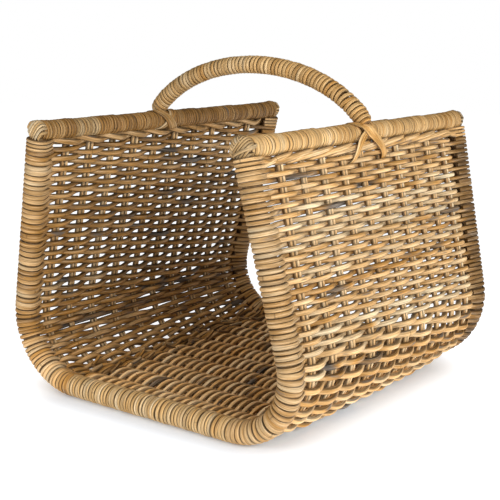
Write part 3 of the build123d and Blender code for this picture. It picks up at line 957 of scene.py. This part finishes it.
def handle_axis(s):
    """The handle's arch, s mm from its left foot."""
    swing = s / arc_radius - arc_half
    share = (swing / arc_half) ** 2
    shoulder = HANDLE_SHOULDER * 4 * share * (1 - share)
    out = np.column_stack((np.sin(swing), np.zeros_like(s), np.cos(swing)))
    along = np.column_stack((np.cos(swing), np.zeros_like(s), -np.sin(swing)))
    points = out * (arc_radius + shoulder)[:, None] + np.array((0, HANDLE_Y, arc_centre))
    return points, out, np.outer(np.ones_like(s), (0, 1, 0)), along


def foot_taper(s):
    """The winding's radius, which shrinks at the handle's feet."""
    from_foot = np.clip(np.minimum(s, arc_length - s) / FOOT_LENGTH, 0, 1)
    return HANDLE_RADIUS - FOOT_THINNER * (1 - from_foot) ** 2


bound = bmesh.new()
widths = turn_widths(arc_length, HANDLE_TURN, HANDLE_VARY)
tones = turn_tones(len(widths), (0.3, 0.5), 0.07, (0.74, 0.94))
winding(bound, handle_axis, foot_taper, widths, HANDLE_HALF_DEPTH, tones, tilt=0.6, fill=0.47, lumpy=0.12)
finish_piece(bound, "wound_handle", BINDING, "binding_cane", "handle_binding")

# %% [markdown]
# ## Caps
# The rail ends are covered by strands of cane laid side by side over the end and tucked under the rail's
# first turns. A woven texture on a dome would look flat from the side, so the strands are rods too. Each is
# given by a few points as seen from the end of the rail, and their depth.

# %% One cap strand
RAIL_LENGTH = 428.0
CAP_SHOULDER = RAIL_LENGTH / 2 + 1
CAP_DOME = 1.8
CAP_HALF_DEPTH = 1.1
CAP_FILL = 0.52
STRAND_CRISP = 2.0
CAP_TONE = {1: (0.31, 0.1, 0.55), -1: (0.2, 0.1, 0.76)}
TUCKS = ((10, 0.78), (7, 0.92), (4, 1.0), (1.5, 1.0))  # depth behind the shoulder, share of the cap's radius


def cap_strand(pile, side, end, half_width, flat_line, tangent):
    """One strand over a rail end: flat_line is (across, up, depth behind the shoulder) in mm."""
    flat_line = np.asarray(flat_line, float)
    flat_line[1:-1] = (flat_line[:-2] + 2 * flat_line[1:-1] + flat_line[2:]) / 4
    across, up, depth = flat_line.T
    x = side * RAIL_SPREAD / 2 + across
    route = np.column_stack((x, end * (CAP_SHOULDER - depth), RAIL_HEIGHT + up))
    tangent = np.insert(tangent, 1, 0.0, axis=1)
    lay(pile, route, tangent, half_width, CAP_HALF_DEPTH, cane_tone(*CAP_TONE[side]), crisp=STRAND_CRISP)


print("caps start", CAP_SHOULDER, "mm from the middle")

# %% [markdown]
# Most strands run side by side across the end. On the right rail a few more cross them at one edge and make a
# small herringbone.


# %% Strands of a cap
def parallel_strands(pile, side, end, radius, step, slope):
    """Strands side by side over the end and down both sides."""
    u = np.array((math.cos(slope), math.sin(slope)))
    v = np.array((-u[1], u[0]))
    count = int(radius / step)
    for place in np.arange(-count, count + 1) * step:
        half = math.sqrt(radius**2 - place**2)
        spots = [u * along + v * place for along in np.linspace(-half, half, 9)[1:-1]]
        dome = [(*spot, -CAP_DOME * (1 - spot @ spot / radius**2)) for spot in spots]
        near, far = (
            [(*((v * place + way * half) * tuck), depth) for depth, tuck in TUCKS] for way in (-u, u)
        )
        near_across, far_across = ([v * half + way * place] * len(TUCKS) for way in (u, -u))
        line, tangent = near + dome + far[::-1], near_across + [v] * len(dome) + far_across
        cap_strand(pile, side, end, step * CAP_FILL, line, tangent)


CROSS_BEARINGS = (106, 120, 134, 148, 162, 176, 190)
CROSS_STEPS = ((1.5, 1.1), (3.5, 1.1), (5.5, 1.1), (7.0, -0.8))  # way in from the edge, height over the dome


def crossing_strands(pile, side, end, radius, step, slope):
    """Shorter strands that start at the left and top edges and dive under the others."""
    fall = np.array((math.cos(slope), -math.sin(slope)))
    for bearing in np.radians(CROSS_BEARINGS):
        edge = np.array((math.cos(bearing), math.sin(bearing))) * (radius + 0.9)
        line = [(*(edge * tuck), depth) for depth, tuck in TUCKS]
        tangent = [(-edge[1], edge[0])] * len(TUCKS)
        for way_in, over in CROSS_STEPS:
            spot = edge + fall * way_in
            line.append((*spot, -CAP_DOME * (1 - spot @ spot / radius**2) - over))
            tangent.append((-fall[1], fall[0]))
        cap_strand(pile, side, end, step * CAP_FILL, line, tangent)


print("crossing strands on a right cap:", len(CROSS_BEARINGS))

# %% [markdown]
# The four caps are of slightly different sizes, as they are hand-made. On the right front one the last strand
# was left long: it lies across the others and ends under the rail's first turns.

# %% Rail caps
CAPS = ((1, -1, 11.2, 2.7), (-1, -1, 10.9, 3.2), (1, 1, 10.6, 3.0), (-1, 1, 10.4, 3.0))
CAP_SLOPE, CROSS_SLOPE = -52, 58
TAIL_HALF_WIDTH = 1.9
TAIL = (
    (-9.0, -8.6, 2.5), (-7.6, -7.4, -1.2), (-3.0, -5.2, -3.6),
    (3.0, -2.4, -3.8), (8.2, 0.0, -2.0), (11.6, 1.8, 1.0),
    (12.4, 2.6, 5.0), (11.0, 3.0, 9.0), (9.0, 3.2, 12.5),
)
TAIL_ACROSS = [(-0.42, 0.9)] * 5 + [(-0.15, 1.0)] * 4
caps = bmesh.new()
for side, end, radius, step in CAPS:
    parallel_strands(caps, side, end, radius, step, math.radians(CAP_SLOPE * end))
    if side > 0:
        crossing_strands(caps, side, end, radius, step, math.radians(CROSS_SLOPE))
    if side > 0 and end < 0:
        cap_strand(caps, side, end, TAIL_HALF_WIDTH, TAIL, TAIL_ACROSS)
finish_piece(caps, "plaited_caps", BINDING, "binding_cane", "rail_caps")

# %% [markdown]
# ## Lashings
# Flat strands tie each foot of the handle to its rail. They start on the rail's inner side, lie close over
# its top beside the foot, cross on the outer face as an X and end tucked into the weave. Each strand needs
# only a few knots round the rail: an angle from straight up, a distance from the rail's axis and a place
# along it. A smooth route through the knots does the rest.

# %% Routes through knots
SPAN_STEPS = 5


def through_knots(knots):
    """A smooth route through a few knots."""
    knots = np.asarray(knots, float)
    ends = np.vstack((2 * knots[0] - knots[1], knots, 2 * knots[-1] - knots[-2]))
    t = np.linspace(0, 1, SPAN_STEPS, endpoint=False)[:, None]
    spans = [
        (2 * b + (c - a) * t + (2 * a - 5 * b + 4 * c - d) * t**2 + (3 * b - a - 3 * c + d) * t**3) / 2
        for a, b, c, d in zip(ends, ends[1:], ends[2:], ends[3:])
    ]
    return np.vstack(spans + [knots[-1:]])


LASH_KNOTS = np.array([
    (-170, 10.5, 14.0), (-140, 11.3, 9.0), (-105, 11.4, 2.0),
    (-70, 11.3, -5.0), (-40, 11.0, -9.5), (-8, 11.0, -11.5),
    (20, 11.3, -11.0), (40, 12.2, -9.0), (60, 13.6, -4.0),
    (78, 13.4, 2.0), (95, 13.2, 8.0), (112, 15.0, 14.0),
    (128, 19.5, 20.5), (139, 24.5, 26.0), (150, 28.5, 29.5),
    (162, 30.5, 31.0),
])
print("points on a lashing strand:", len(through_knots(LASH_KNOTS)))

# %% [markdown]
# Four strands go one way and lie over the three that go the other way. They fan out on the outer face, then
# gather and narrow towards their tails.

# %% Lashings
LASH_STRANDS = {1: 4, -1: 3}
LASH_HALF_WIDTH, LASH_HALF_DEPTH = 1.95, 0.9
LASH_TAIL = 0.55
SPREAD_ANGLES, LASH_SPREADS = (-170, -8, 40, 95, 130, 162), (3.4, 3.9, 5.4, 5.0, 3.2, 1.4)
OVER_ANGLES, LASH_OVERS = (-80, -45, 25, 60), (1.3, 0.0, 0.0, 1.3)
LASH_LIGHT = {1: 1.0, -1: 0.8}
angle, knot_reach, knot_along = LASH_KNOTS.T
spread = np.interp(angle, SPREAD_ANGLES, LASH_SPREADS)
for side, word in SIDES:
    tie = bmesh.new()
    for way in (-1, 1):
        reach = knot_reach + (way > 0) * np.interp(angle, OVER_ANGLES, LASH_OVERS)
        for strand in range(LASH_STRANDS[way]):
            place = strand - (LASH_STRANDS[way] - 1) / 2
            along = way * knot_along + place * spread + dice.normal(0, 0.3, len(knot_along))
            x = side * (RAIL_SPREAD / 2 + reach * np.sin(np.radians(angle)))
            z = RAIL_HEIGHT + reach * np.cos(np.radians(angle))
            route = through_knots(np.column_stack((x, HANDLE_Y + along, z)))
            narrow = np.interp(np.linspace(0, 1, len(route)), (0.7, 1.0), (1.0, LASH_TAIL))
            tone = cane_tone(0.44, 0.12, LASH_LIGHT[side])
            lay(tie, route, (0, 1, 0), LASH_HALF_WIDTH * narrow, LASH_HALF_DEPTH, tone, crisp=STRAND_CRISP)
    finish_piece(tie, f"tied_{word}_lashing", BINDING, "binding_cane", f"{word}_lashing")

# %% [markdown]
# ## Cut ends
# The weavers were joined in the corners, where their cut ends stick out a little on the inside. Short rods
# with a raised tip give that, at random places along the corners and the edge of the floor.

# %% Cut ends
ENDS_PER_SIDE = 34
END_RADIUS = 2.2
END_PLACES = (-172, 150)
END_LENGTHS, END_TIPS = (12, 24), (1.0, 7.0)
ends = bmesh.new()
for side in (1, -1):
    for _ in range(ENDS_PER_SIDE):
        run = dice.normal(CORNER_END - 14, 17)
        y = dice.uniform(*END_PLACES)
        length = dice.uniform(*END_LENGTHS)
        tip = dice.uniform(*END_TIPS)
        t = np.linspace(0, 1, 6)
        reach = y + dice.choice((-1, 1)) * length * t
        path = np.column_stack((reach, WEAVE_OUT - (REACH + 1.0) - tip * t**1.5))
        route, down_hill = on_wall(run + dice.uniform(-7, 7) * t, side, path)
        lay(ends, route, down_hill, END_RADIUS, END_RADIUS, cane_tone(0.5, 0.18))
finish_piece(ends, "cut_ends", WEAVER, "weaver_cane")

# %% [markdown]
# ## What shows of the solids
# The poles are hidden by their bindings except for dark slivers between turns, and the pins are inside
# them. They keep their solids. Their finishes read Object coordinates, since a solid has no grain.

# %% Poles and pins
POLE_GRAIN = 5.0
WIRE_SCRATCH = 0.8


def flecks(tree, size, detail):
    """Noise of a size in mm, the same all through a solid."""
    spot = add_node(tree, "TexCoord", out="Object")
    return add_node(tree, "TexNoise", {"Vector": spot, "Scale": 1 / (size * MM), "Detail": detail})


# Debarked rattan pole: dull brown and mottled, seen only between the turns of the bindings
POLE, pole_tree, pole_shader = new_material("debarked rattan pole")
mottle = flecks(pole_tree, POLE_GRAIN, 3.0)
bark = add_node(pole_tree, "ValToRGB", (mottle,))
for element, colour in zip(bark.node.color_ramp.elements, ("#4A3520", "#8A673C")):
    element.color = linear(colour)
pitted = add_node(pole_tree, "Bump", {"Height": mottle, "Strength": 0.3, "Distance": 0.4 * MM})
fill(pole_shader, {"Base Color": bark, "Normal": pitted, "Roughness": 0.7})

# Drawn steel wire, cut to nails: grey, half bright, with fine scratches
STEEL, steel_tree, steel_shader = new_material("drawn steel nail")
scratch = flecks(steel_tree, WIRE_SCRATCH, 2.0)
worn = add_node(steel_tree, "MapRange", (scratch, 0.0, 1.0, 0.28, 0.5))
fill(steel_shader, {"Base Color": linear("#8C8C8A"), "Roughness": worn, "Metallic": 1.0})

finishes = dict.fromkeys(("handle", "left_rail", "right_rail", "front_hoop", "rear_hoop"), POLE)
finishes["corner_pins"] = STEEL
for name, finish in finishes.items():
    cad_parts[name].data.materials.clear()
    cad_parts[name].data.materials.append(finish)
print("solids that show:", list(finishes))

# %% [markdown]
# Under the strands of each cap is the end of the rail. A spun dome of pole wood stands for it and keeps the
# gaps between the strands dark. Its profile starts and ends on the axis, so the spin closes it.

# %% Cap cores
CORE_PROFILE = ((0.0, 12), (7.5, 12), (9.2, 4), (8.8, 0.5), (5.5, -1.2), (0.0, -2.0))
CORE_STEPS = 24
cores = bmesh.new()
for side, end, _, _ in CAPS:
    centre = side * RAIL_SPREAD / 2
    ring = [
        cores.verts.new(((centre + r) * MM, end * (CAP_SHOULDER - depth) * MM, RAIL_HEIGHT * MM))
        for r, depth in CORE_PROFILE
    ]
    chain = [cores.edges.new(pair) for pair in zip(ring, ring[1:])]
    about = {"cent": (centre * MM, 0, RAIL_HEIGHT * MM), "axis": (0, 1, 0), "angle": 2 * math.pi}
    bmesh.ops.spin(cores, geom=ring + chain, steps=CORE_STEPS, use_merge=True, **about)
bmesh.ops.remove_doubles(cores, verts=cores.verts, dist=1e-6)
bmesh.ops.recalc_face_normals(cores, faces=cores.faces)
finish_piece(cores, "cap_cores", POLE, "pole")
